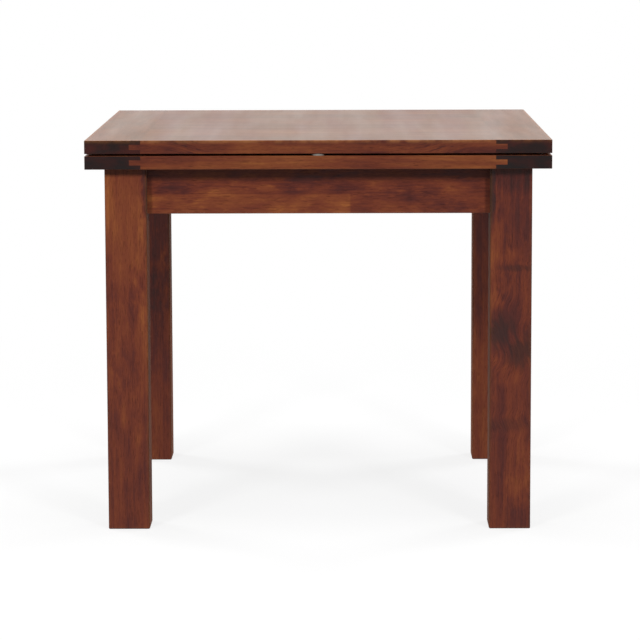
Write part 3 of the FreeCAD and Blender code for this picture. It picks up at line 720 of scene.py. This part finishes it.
def wood_finish(name, low, high, grain, number, stain=CHESTNUT_STAIN, tone=0.0, end_colour=END_GRAIN,
                figure=STRAIGHT_FIGURE, gloss=BASE_GLOSS, knots=(), slants=(), patches=(), strips=(),
                whole=None, rubbed=None, wear=BASE_WEAR, sheen_tinted=False):
    """Solid wood for one piece: grain along an axis, its own place in the log, its knots and slants."""
    material, recipe, shader = new_finish(name)
    place, normal = recipe.coordinates()
    grain_place = grain_space(recipe, place, low, high, grain, number)
    fibre = bent_fibres(recipe, place, grain_place, slants, knots)
    lightness, streak, pore = wood_figure(recipe, grain_place, fibre, tone, figure)
    lightness = own_marks(recipe, lightness, place, normal, fibre, slants, patches, strips)
    colour = recipe.ramp(lightness, stain)
    # Painted sheen: the upper leaf's up-facing faces get the warm tint of the top's reflection
    if sheen_tinted:
        colour = painted_sheen_tint(recipe, colour, place, normal)
    for centre, radii, share in knots:
        field = spot(recipe, place, fibre, centre, radii)
        colour = recipe.blend(recipe.math("MULTIPLY", field, share), colour, KNOT_DARK)
    colour = recipe.blend(recipe.math("MULTIPLY", pore, PORE_DEPTH), colour, KNOT_DARK)
    if whole:
        seams = board_seams(recipe, place, normal, low, high, *whole)
        colour = recipe.blend(seams, colour, KNOT_DARK)
    # Painted reflection on the faces that look inward
    if gloss["inward"]:
        inward_tint = recipe.math("MULTIPLY", inward_faces(recipe, place, normal), INWARD_SHEEN_SHARE)
        colour = recipe.blend(inward_tint, colour, INWARD_SHEEN_TINT)
    worn = arris_wear_and_highlight(recipe, place, *(rubbed or (low, high)), wear)
    colour = recipe.blend(worn, colour, WORN_STAIN_AND_HIGHLIGHT)
    ends_wear_and_highlight = rim_wear_and_highlight(recipe, place, high.z) if sheen_tinted else 0.0
    colour = end_grain(recipe, colour, place, normal, grain, end_colour, ends_wear_and_highlight)
    recipe.feed(shader.inputs["Base Color"], colour)
    lacquer(recipe, shader, place, normal, streak, pore, gloss)
    return material


def dress(node_name, material):
    """Puts one finish on all of a piece's material slots."""
    for slot in nodes[node_name].material_slots:
        slot.material = material


print("wood finish ready")

# %% [markdown]
# The legs are sawn from thick stock, with the grain upright. The left front leg is an even orange brown,
# lighter at the top and along its inner edge. The right front leg is darker and has knots: a bar across it,
# a broad dark one below, and a band near the foot. Where the front legs meet the apron, the leg's face
# beside the apron and its inner arris are painted darker: painted shade, where the corner lies in shadow.
# The rear legs are painted darker in their upper halves and lighter at the foot: painted shade from the top,
# and painted light where the front lamps reach under it. A planed knot is level with the face, so knots and
# patches are made in the colour and the run of the fibres, and not in the mesh. Each has a centre, three
# radii and a number: a knot's says how dark it is, and a patch's by how much it makes the stain lighter or
# darker.

# %% Legs
LEG_TONE = {"front_left": -0.03, "front_right": -0.14, "rear_left": -0.07, "rear_right": -0.02}
LEG_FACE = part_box("leg_front_left")[0].y
REAR_FACE = 0.335
LEG_KNOTS = {
    "front_right": (
        ((0.384, LEG_FACE, 0.516), (0.050, 0.030, 0.009), 0.50),  # the bar
        ((0.353, LEG_FACE, 0.390), (0.037, 0.030, 0.047), 0.85),  # the broad knot
        ((0.396, LEG_FACE, 0.352), (0.038, 0.030, 0.040), 0.80),  # its outer part
        ((0.372, LEG_FACE, 0.207), (0.060, 0.030, 0.018), 0.35),  # the band
    ),
}
LEG_PATCHES = {
    "front_left": (
        ((-0.374, LEG_FACE, 0.640), (0.150, 0.150, 0.280), 0.21),  # lighter upper half
        ((-0.347, LEG_FACE, 0.370), (0.022, 0.030, 0.150), 0.24),  # light inner edge
        ((-0.369, LEG_FACE, 0.434), (0.0045, 0.030, 0.055), -0.10),  # thin dark streak
        ((-0.396, LEG_FACE, 0.430), (0.032, 0.030, 0.240), -0.15),  # darker outer edge
        ((-0.366, LEG_FACE, 0.640), (0.020, 0.030, 0.080), 0.10),  # light streak high up
        ((-0.362, LEG_FACE, 0.180), (0.016, 0.030, 0.045), 0.14),  # light streak low down
        ((-0.374, LEG_FACE, 0.080), (0.150, 0.150, 0.300), -0.08),  # darker foot
        ((-0.3335, LEG_FACE, 0.665), (0.026, 0.030, 0.085), -0.22),  # painted shade beside the apron, where the corner lies in shadow
        ((-0.3335, LEG_FACE, 0.650), (0.012, 0.080, 0.120), -0.45),  # painted shade on the inner arris, in the shadow of the top
    ),
    "front_right": (
        ((0.344, LEG_FACE, 0.458), (0.018, 0.030, 0.034), 0.16),  # light below the bar
        ((0.372, LEG_FACE, 0.540), (0.040, 0.030, 0.024), 0.13),  # light above the bar
        ((0.370, LEG_FACE, 0.300), (0.030, 0.030, 0.030), 0.06),  # light below the knot
        ((0.390, LEG_FACE, 0.085), (0.040, 0.030, 0.055), 0.22),  # light above the foot
        ((0.352, LEG_FACE, 0.545), (0.036, 0.030, 0.130), 0.20),  # light inner half
        ((0.342, LEG_FACE, 0.338), (0.014, 0.030, 0.022), 0.20),  # light beside the knot
        ((0.396, LEG_FACE, 0.640), (0.032, 0.030, 0.110), -0.14),  # dark outer edge
        ((0.374, LEG_FACE, 0.690), (0.070, 0.030, 0.040), -0.14),  # dark top
        ((0.341, LEG_FACE, 0.560), (0.012, 0.030, 0.080), 0.12),  # light inner edge
        ((0.3335, LEG_FACE, 0.665), (0.014, 0.030, 0.085), -0.14),  # painted shade beside the apron, where the corner lies in shadow
        ((0.3335, LEG_FACE, 0.650), (0.012, 0.080, 0.120), -0.40),  # painted shade on the inner arris, in the shadow of the top
        ((0.374, LEG_FACE, 0.120), (0.150, 0.150, 0.300), 0.06),  # lighter foot
    ),
    "rear_left": (
        ((-0.374, REAR_FACE, 0.600), (0.150, 0.150, 0.340), -0.34),  # painted shade: dark upper half, in the shadow of the top
        ((-0.374, REAR_FACE, 0.040), (0.150, 0.150, 0.260), 0.10),  # painted light: lighter foot, where the front lamps reach
    ),
    "rear_right": (
        ((0.374, REAR_FACE, 0.600), (0.150, 0.150, 0.340), -0.13),  # painted shade: darker upper half, in the shadow of the top
        ((0.374, REAR_FACE, 0.040), (0.150, 0.150, 0.260), 0.13),  # painted light: lighter foot, where the front lamps reach
    ),
}

for number, corner in enumerate(LEG_TONE):
    leg = f"leg_{corner}"
    dress(leg, wood_finish(f"{leg}_stained_hardwood", *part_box(leg), "Z", number, tone=LEG_TONE[corner],
                           knots=LEG_KNOTS.get(corner, ()), patches=LEG_PATCHES.get(corner, ())))
print(f"{len(LEG_TONE)} legs stained")

# %% [markdown]
# The aprons are cut from curly wood, whose fibres rise and dip, so that the figure is short and mottled. The
# front one is glued up from two strips. The lower strip is a lighter board that ends right of the middle,
# and three dark patches lie where the stain soaked in. The glue joint is planed flush, so the strip is no
# piece of its own, only another shade in the same solid.

# %% Aprons
APRON_GRAIN = {"front": "X", "rear": "X", "left": "Y", "right": "Y"}
FIRST_APRON_NUMBER = 10
APRON_TONE = -0.045
APRON_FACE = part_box("apron_front")[0].y
APRON_PATCHES = {
    "front": (
        ((-0.280, APRON_FACE, 0.662), (0.056, 0.040, 0.036), -0.17),
        ((-0.020, APRON_FACE, 0.688), (0.070, 0.040, 0.020), -0.30),
        ((0.140, APRON_FACE, 0.656), (0.090, 0.040, 0.020), -0.13),
    ),
}
STRIP_START = Vector((-0.50, -0.50, 0.50))
STRIP_END = Vector((0.062, 0.0, 0.659))
APRON_STRIPS = {"front": ((STRIP_START, STRIP_END, 0.20),)}

for number, side in enumerate(APRON_GRAIN, start=FIRST_APRON_NUMBER):
    apron = f"apron_{side}"
    dress(apron, wood_finish(f"{apron}_stained_hardwood", *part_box(apron), APRON_GRAIN[side], number,
                             tone=APRON_TONE, figure=CURLY_FIGURE, patches=APRON_PATCHES.get(side, ()),
                             strips=APRON_STRIPS.get(side, ())))
print(f"{len(APRON_GRAIN)} aprons stained")

# %% [markdown]
# Each leaf is six boards with a board across each end. The end boards' fibres run front to back, so their
# front ends are end grain and look almost black, and the boards' tongues show in them as light bars. The
# wear follows the box of the whole leaf, because the boards' inner seams can't be rubbed. Nor can the
# arrises in the gap and underneath, so for the wear that box is stretched past them. No two boards took the
# stain alike. The leaves get more sun than the base, so their stain is a little yellower.

# %% Leaves
LEAF_TONE = {"lower": 0.10, "upper": -0.07}
BOARD_TONE = (0.0, 0.11, -0.08, 0.05, -0.12, 0.07)
YELLOWING = (1.0, 1.12, 1.06)
LEAF_STAIN = [(stop, tuple(np.multiply(colour, YELLOWING))) for stop, colour in CHESTNUT_STAIN]
# Each slanting stretch's middle along X, half its length and its slope
BOARD_SLANTS = {"upper_leaf_board_1": ((0.235, 0.070, 0.20), (-0.257, 0.050, -0.22))}
LEAF_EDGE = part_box("upper_leaf_board_1")[0].y
BOARD_PATCHES = {
    "upper_leaf_board_1": (
        ((-0.26, LEAF_EDGE, 0.755), (0.150, 0.060, 0.060), -0.12),
        ((0.00, LEAF_EDGE, 0.755), (0.160, 0.060, 0.060), -0.09),
    ),
}
FIRST_LEAF_NUMBER = {"lower": 20, "upper": 40}
END_GRAIN_SHARE = {"lower": 0.5, "upper": 1.0}
SHELTER = Vector((0.0, 0.0, 0.02))
END_NUMBER_STEP = 10


def leaf_box(leaf):
    """The box of a whole leaf, from its two end boards."""
    boxes = [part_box(f"{leaf}_leaf_end_{side}") for side in ("left", "right")]
    low = Vector(np.min([low for low, high in boxes], axis=0))
    high = Vector(np.max([high for low, high in boxes], axis=0))
    return low, high


# The arrises in the gap and underneath also lie in shade, so the stretched box keeps the painted highlight
# off them
def rubbed_box(leaf):
    """The leaf's box, stretched past the arrises that hands don't reach: in the gap and underneath."""
    low, high = leaf_box(leaf)
    return low - SHELTER, high + SHELTER if leaf == "lower" else high


for leaf, first in FIRST_LEAF_NUMBER.items():
    end_colour = tuple(END_GRAIN_SHARE[leaf] * part for part in END_GRAIN)
    shared = {"stain": LEAF_STAIN, "gloss": LEAF_GLOSS, "wear": LEAF_WEAR_AND_HIGHLIGHT, "end_colour": end_colour,
              "whole": leaf_box(leaf), "rubbed": rubbed_box(leaf), "sheen_tinted": leaf == "upper"}
    for number, board_tone in enumerate(BOARD_TONE, start=1):
        board = f"{leaf}_leaf_board_{number}"
        dress(board, wood_finish(f"{board}_stained_hardwood", *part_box(board), "X", first + number,
                                 tone=LEAF_TONE[leaf] + board_tone, slants=BOARD_SLANTS.get(board, ()),
                                 patches=BOARD_PATCHES.get(board, ()), **shared))
    for number, side in enumerate(("left", "right"), start=first + END_NUMBER_STEP):
        end = f"{leaf}_leaf_end_{side}"
        dress(end, wood_finish(f"{end}_stained_hardwood", *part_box(end), "Y", number,
                               tone=LEAF_TONE[leaf], **shared))
print(f"{2 * (len(BOARD_TONE) + 2)} leaf boards stained")

# %% [markdown]
# What is hidden under the top is not stained. Corner blocks, guide rails, runners and keepers are planed
# hardwood, pale and dull, and the same wood finish makes them with another ramp of colours.

# %% Frame wood
FRAME_PAIRS = ("guide_rail", "runner", "keeper")
FIRST_FRAME_NUMBER = 60
frame_pieces = [f"{piece}_{side}" for piece in FRAME_PAIRS for side in ("front", "rear")]
frame_pieces += [f"corner_block_{corner}" for corner in LEG_TONE]

for number, piece in enumerate(frame_pieces, start=FIRST_FRAME_NUMBER):
    dress(piece, wood_finish(f"{piece}_raw_hardwood", *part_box(piece), "X", number, stain=PALE_WOOD,
                             end_colour=END_GRAIN_PALE, gloss=RAW_GLOSS))
print(f"{len(frame_pieces)} pieces of raw frame wood")

# %% [markdown]
# A hanger bolt in each corner is drawn up by a nut, and its threaded tail stands out of the nut. On the
# real bolt the thread is a groove that winds round the bar. A Boolean that cuts it often leaves
# slivers. As a formula the bar is one clean closed surface: the radius of a point is the bar's radius less
# a triangle wave of its height along the bar and its turn round it. The bar's ends are cut to a cone.

# %% The shape of a thread
THREAD_PITCH = 0.00125
THREAD_DEPTH = 0.0006
THREAD_ROWS = 8
BOLT_SPOKES = 24
BOLT_CONE = 0.0012


def threaded_bar(start, end, radius):
    """Points of a threaded bar from start to end, in rows along it and columns round it.

    The radius is the bar's, less the depth times a triangle wave of height over pitch less turn, and no more
    than what a cone at each end leaves.
    """
    axis = end - start
    length = np.linalg.norm(axis)
    rows = int(length / THREAD_PITCH * THREAD_ROWS)
    height = np.linspace(0.0, length, rows)[:, None]
    angle = np.linspace(0.0, 2 * math.pi, BOLT_SPOKES, endpoint=False)[None, :]
    phase = (height / THREAD_PITCH - angle / (2 * math.pi)) % 1.0
    reach = radius - THREAD_DEPTH * np.abs(2 * phase - 1.0)
    cone = radius - BOLT_CONE + np.minimum(height, length - height)
    reach = np.minimum(reach, cone)
    along = axis / length
    upward = np.array((0.0, 0.0, 1.0))
    sideways = np.cross(upward, along)
    ring = np.cos(angle)[..., None] * sideways + np.sin(angle)[..., None] * upward
    return start + height[..., None] * along + reach[..., None] * ring


def bar_faces(rows, spokes, first):
    """Quads round a bar and one face on each end, all facing out, for points numbered from first on."""
    sides = (grid_faces(rows, spokes, wrap=True) + first).tolist()
    near = list(range(first, first + spokes))
    far = [first + (rows - 1) * spokes + spoke for spoke in range(spokes)]
    return sides + [near[::-1], far]


print(f"thread of {THREAD_PITCH * MM_PER_M:.2f} mm pitch")

# %% [markdown]
# The bolts' places could be typed in again, but then they would part from the construction when it changes.
# So they are read from the construction's own plain bolts, which this piece stands for. Each of those lies
# level on its corner's diagonal, so its points give the two ends and the radius.

# %% Bolts in their places
CORNER_SIGNS = ((-1, -1), (1, -1), (-1, 1), (1, 1))
CM3_PER_M3 = 1e6


def enclosed_volume(piece):
    """Volume inside a closed mesh; it would come out negative if the faces pointed inward."""
    work = bmesh.new()
    work.from_mesh(piece.data)
    volume = work.calc_volume(signed=True)
    work.free()
    return volume


def bolt_ends(points, signs):
    """Start, end and radius of the bolt in one corner, which lies level on the corner's diagonal."""
    own = points[(points[:, 0] * signs[0] > 0) & (points[:, 1] * signs[1] > 0)]
    along = np.array((-signs[0], -signs[1], 0.0)) / math.sqrt(2)
    middle = np.array((0.0, 0.0, (own[:, 2].min() + own[:, 2].max()) / 2))
    radius = (own[:, 2].max() - own[:, 2].min()) / 2
    places = own @ along
    return middle + along * places.min(), middle + along * places.max(), radius


bolt_mesh = nodes["leg_bolts"].data
bolt_corners = np.empty(3 * len(bolt_mesh.vertices))
bolt_mesh.vertices.foreach_get("co", bolt_corners)
bolt_points, bolt_faces = [], []
for signs in CORNER_SIGNS:
    bar = threaded_bar(*bolt_ends(bolt_corners.reshape(-1, 3), signs))
    first = sum(len(points) for points in bolt_points)
    bolt_faces += bar_faces(len(bar), BOLT_SPOKES, first)
    bolt_points.append(bar.reshape(-1, 3))
hanger_bolts = surface("threaded_hanger_bolts", np.concatenate(bolt_points), bolt_faces)
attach(hanger_bolts, "base")
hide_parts("leg_bolts")
print(f"{len(CORNER_SIGNS)} bolts, {enclosed_volume(hanger_bolts) * CM3_PER_M3:.1f} cm3 of steel")

# %% [markdown]
# Metal is one Principled shader with Metallic at 1. Zinc plating and rolled brass both have dull patches and
# fine scratches in one direction, which come from noise that is stretched along the rolling. The hinges'
# screws are turned from a darker brass with an even grain, so that their flush heads show in the plates.

# %% Metal
ZINC = {"bright": (0.58, 0.59, 0.60), "dull": (0.40, 0.40, 0.39), "roughness": 0.28,
        "scratches": (90.0, 900.0, 900.0)}
BRASS = {"bright": (0.68, 0.47, 0.17), "dull": (0.57, 0.39, 0.14), "roughness": 0.26,
         "scratches": (900.0, 60.0, 900.0)}
SCREW_BRASS = {"bright": (0.52, 0.35, 0.12), "dull": (0.40, 0.26, 0.09), "roughness": 0.34,
               "scratches": (900.0, 900.0, 900.0)}
PLATING_STRETCH = (38.0, 38.0, 38.0)
PLATING_EDGE = (0.3, 0.75)
PLATING_ROUGHNESS = 0.15
SCRATCH_ROUGHNESS = 0.12
SCRATCH_DEPTH = 0.00005
SCRATCH_STRENGTH = 0.5
ZINC_PIECES = ("leg_bolt_washers", "leg_bolt_nuts", "corner_block_screws", "guide_rail_screws",
               "runner_screws", "hinge_pins")


def metal_finish(name, metal):
    """Plated, rolled or turned metal: patches of dull skin and fine scratches."""
    material, recipe, shader = new_finish(name)
    place, _ = recipe.coordinates()
    patch = recipe.ease(recipe.cloud(place, PLATING_STRETCH), *PLATING_EDGE)
    scratch = recipe.cloud(place, metal["scratches"], "soft")
    recipe.feed(shader.inputs["Base Color"], recipe.blend(patch, metal["bright"], metal["dull"]))
    shader.inputs["Metallic"].default_value = 1.0
    rough = recipe.math("MULTIPLY_ADD", patch, PLATING_ROUGHNESS, metal["roughness"])
    recipe.feed(shader.inputs["Roughness"], recipe.math("MULTIPLY_ADD", scratch, SCRATCH_ROUGHNESS, rough))
    recipe.feed(shader.inputs["Normal"], recipe.bump(scratch, SCRATCH_DEPTH, SCRATCH_STRENGTH))
    return material


zinc = metal_finish("zinc_plated_steel", ZINC)
brass = metal_finish("rolled_brass", BRASS)
hanger_bolts.data.materials.append(zinc)
for name in ZINC_PIECES:
    dress(name, zinc)
screw_brass = metal_finish("turned_screw_brass", SCREW_BRASS)
for leaf in FIRST_LEAF_NUMBER:
    dress(f"{leaf}_hinge_plates", brass)
    dress(f"{leaf}_hinge_screws", screw_brass)
print(f"{1 + len(ZINC_PIECES) + 2 * len(FIRST_LEAF_NUMBER)} pieces of metal")

# %% [markdown]
# The glide strips that carry the leaves are milky nylon, and the bumpers between the leaves are soft pale
# rubber. Both are moulded: one colour with a faint cloud in it, and a fine even texture from the mould. The
# texture is far too fine for the mesh, so it is a bump.

# %% Nylon and rubber
MOULD_CLOUD = (35.0, 35.0, 35.0)
MOULD_GRAIN = (1800.0, 1800.0, 1800.0)
MOULD_SHADE = 0.8
MOULD_ROUGHNESS = 0.15
MOULD_DEPTH = 0.00003
MOULD_STRENGTH = 1.0
NYLON = (0.56, 0.54, 0.49)
NYLON_ROUGHNESS = 0.45
RUBBER = (0.195, 0.185, 0.168)
RUBBER_ROUGHNESS = 0.40


def moulded_finish(name, colour, roughness):
    """Moulded nylon or rubber: one colour with a faint cloud, and a fine moulded texture."""
    material, recipe, shader = new_finish(name)
    place, _ = recipe.coordinates()
    cloud = recipe.cloud(place, MOULD_CLOUD)
    darker = tuple(MOULD_SHADE * part for part in colour)
    recipe.feed(shader.inputs["Base Color"], recipe.blend(cloud, darker, colour))
    recipe.feed(shader.inputs["Roughness"], recipe.math("MULTIPLY_ADD", cloud, MOULD_ROUGHNESS, roughness))
    texture = recipe.cloud(place, MOULD_GRAIN, "smooth")
    recipe.feed(shader.inputs["Normal"], recipe.bump(texture, MOULD_DEPTH, MOULD_STRENGTH))
    return material


dress("glide_strips", moulded_finish("glide_strip_nylon", NYLON, NYLON_ROUGHNESS))
dress("leaf_bumpers", moulded_finish("leaf_bumper_rubber", RUBBER, RUBBER_ROUGHNESS))
print("nylon and rubber done")
